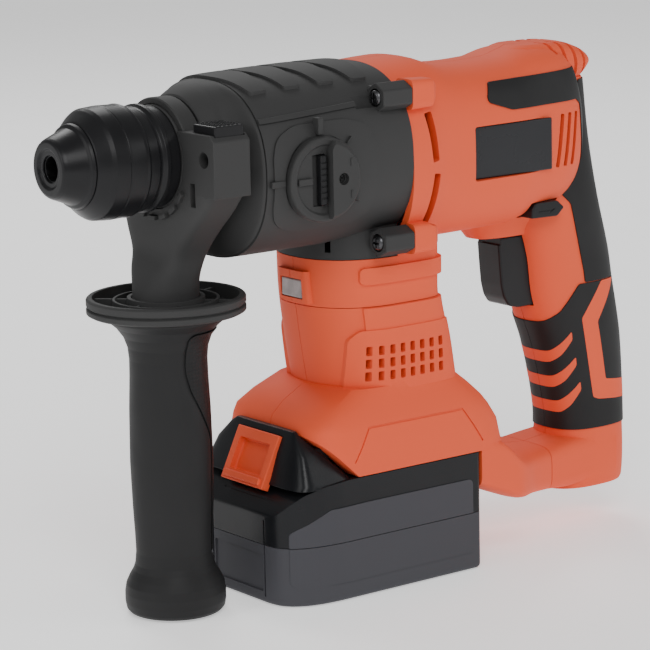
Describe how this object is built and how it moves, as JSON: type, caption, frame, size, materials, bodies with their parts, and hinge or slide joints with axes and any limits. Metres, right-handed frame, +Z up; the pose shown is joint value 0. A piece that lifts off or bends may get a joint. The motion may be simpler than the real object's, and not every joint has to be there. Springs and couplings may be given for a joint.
{
  "type": "cordless rotary hammer",
  "caption": "Cordless rotary hammer with a quick chuck, mode knob, D-handle with trigger, swinging side handle and a slide-on battery it stands on.",
  "frame": {"origin": "middle of the battery's flat base, in the tool's middle plane", "axes": "+Z up, -X towards the chuck's nose, -Y the tool's left side; the chuck axis runs along X at z 0.190"},
  "size_m": [0.2975, 0.0911, 0.2208],
  "materials": {
    "red_housing": "satin moulded plastic",
    "black_nylon": "fine-grained glass-filled nylon",
    "rubber": "matt overmoulded rubber",
    "battery_plastic": "satin moulded plastic",
    "red_button": "satin moulded plastic",
    "cell": null,
    "steel": "ground steel",
    "dark_steel": "blackened steel",
    "winding": "varnished winding and laminations",
    "aluminium": "die-cast",
    "lens": "clear"
  },
  "bodies": {
    "tool": {"upper_housing_left": "red_housing", "upper_housing_right": "red_housing", "lower_housing_left": "red_housing", "lower_housing_right": "red_housing", "grip_rubber_left": "rubber", "grip_rubber_right": "rubber", "label_plate_left": "black_nylon", "label_plate_right": "black_nylon", "gearbox_nose": "black_nylon", "gearbox_housing": "black_nylon", "gearbox_screw_1": "dark_steel", "gearbox_screw_2": "dark_steel", "gearbox_screw_3": "dark_steel", "gearbox_screw_4": "dark_steel", "work_light_lens": "lens", "switch_module": "black_nylon", "trigger_spring": "steel", "motor_controller": "aluminium", "terminal_block": "black_nylon", "stator": "winding", "front_motor_bearing": "steel", "rear_motor_bearing": "steel", "motor_plate": "aluminium", "bearing_plate": "aluminium", "spindle_bearing": "steel", "oil_seal": "rubber"},
    "rotor": {"rotor_core": "steel", "motor_shaft": "steel", "cooling_fan": "black_nylon"},
    "intermediate": {"intermediate_shaft": "steel", "intermediate_gear": "steel", "intermediate_pinion": "steel", "wobble_hub": "steel"},
    "wobble": {"wobble_ring": "steel"},
    "piston": {"piston": "steel"},
    "striker": {"striker": "steel"},
    "spindle": {"spindle": "dark_steel", "spindle_gear": "steel", "chuck_collar": "black_nylon", "sleeve_spring": "steel", "dust_cap": "black_nylon", "locking_ball": "steel"},
    "beat_piece": {"beat_piece": "steel"},
    "chuck_sleeve": {"chuck_sleeve": "black_nylon"},
    "mode_knob": {"mode_knob": "black_nylon"},
    "mode_lock": {"mode_lock_slider": "black_nylon"},
    "trigger": {"trigger": "black_nylon"},
    "direction_switch": {"direction_switch": "black_nylon"},
    "side_handle": {"handle_bracket": "black_nylon"},
    "depth_button": {"depth_stop_button": "black_nylon"},
    "side_grip": {"side_grip_core": "black_nylon", "side_grip_cover": "rubber"},
    "battery": {"battery_upper_case": "battery_plastic", "battery_lower_case": "battery_plastic", "cell_pair_1": "cell", "cell_pair_2": "cell", "cell_pair_3": "cell", "cell_pair_4": "cell", "cell_pair_5": "cell"},
    "release_button": {"release_button": "red_button"}
  },
  "joints": [
    {"name": "spindle_spin", "type": "hinge", "parent": "tool", "child": "spindle", "pos_m": [0, 0, 0.19], "axis": [1, 0, 0], "continuous": true},
    {"name": "intermediate_spin", "type": "hinge", "parent": "tool", "child": "intermediate", "pos_m": [0, 0, 0.16], "axis": [1, 0, 0], "continuous": true},
    {"name": "rotor_spin", "type": "hinge", "parent": "tool", "child": "rotor", "pos_m": [0, 0, 0.179], "axis": [1, 0, 0], "continuous": true},
    {"name": "wobble_rock", "type": "hinge", "parent": "tool", "child": "wobble", "pos_m": [-0.001, 0, 0.16], "axis": [0, 1, 0], "range_deg": [-12, 12]},
    {"name": "piston_slide", "type": "slide", "parent": "tool", "child": "piston", "axis": [1, 0, 0], "range_m": [-0.0062, 0.0062]},
    {"name": "striker_slide", "type": "slide", "parent": "tool", "child": "striker", "axis": [1, 0, 0], "range_m": [-0.0065, 0.0065]},
    {"name": "beat_slide", "type": "slide", "parent": "spindle", "child": "beat_piece", "axis": [1, 0, 0], "range_m": [-0.0025, 0]},
    {"name": "sleeve_slide", "type": "slide", "parent": "spindle", "child": "chuck_sleeve", "axis": [1, 0, 0], "range_m": [0, 0.007], "stiffness_N_per_m": 1500, "springref_m": -0.004, "deforming": ["sleeve_spring"]},
    {"name": "knob_turn", "type": "hinge", "parent": "tool", "child": "mode_knob", "pos_m": [-0.0272, 0, 0.1797], "axis": [0, 1, 0], "range_deg": [-90, 90]},
    {"name": "lock_slide", "type": "slide", "parent": "mode_knob", "child": "mode_lock", "axis": [1, 0, 0], "range_m": [-0.0022, 0], "stiffness_N_per_m": 300, "springref_m": 0.003},
    {"name": "trigger_pull", "type": "slide", "parent": "tool", "child": "trigger", "axis": [1, 0, 0], "range_m": [0, 0.006], "stiffness_N_per_m": 700, "springref_m": -0.006, "deforming": ["trigger_spring"]},
    {"name": "direction_slide", "type": "slide", "parent": "tool", "child": "direction_switch", "axis": [0, 1, 0], "range_m": [-0.0025, 0.0025]},
    {"name": "handle_swing", "type": "hinge", "parent": "tool", "child": "side_handle", "pos_m": [0, 0, 0.19], "axis": [1, 0, 0], "continuous": true},
    {"name": "depth_button_push", "type": "slide", "parent": "side_handle", "child": "depth_button", "axis": [0, 0, -1], "range_m": [0, 0.0025], "stiffness_N_per_m": 800, "springref_m": -0.003},
    {"name": "grip_twist", "type": "hinge", "parent": "side_handle", "child": "side_grip", "pos_m": [-0.0755, 0, 0.06], "axis": [0, 0, 1], "continuous": true},
    {"name": "battery_slide", "type": "slide", "parent": "tool", "child": "battery", "axis": [-1, 0, 0], "range_m": [0, 0.01]},
    {"name": "release_push", "type": "slide", "parent": "battery", "child": "release_button", "axis": [-0.4321, 0, -0.9018], "range_m": [0, 0.003], "stiffness_N_per_m": 900, "springref_m": -0.003}
  ],
  "couplings": [
    {"joint": "intermediate_spin", "follows": "spindle_spin", "ratio": -2.3333},
    {"joint": "rotor_spin", "follows": "spindle_spin", "ratio": 6.5333},
    {"joint": "wobble_rock", "follows": "piston_slide", "rad_per_m": 33.333},
    {"joint": "striker_slide", "follows": "piston_slide", "ratio": 1}
  ]
}
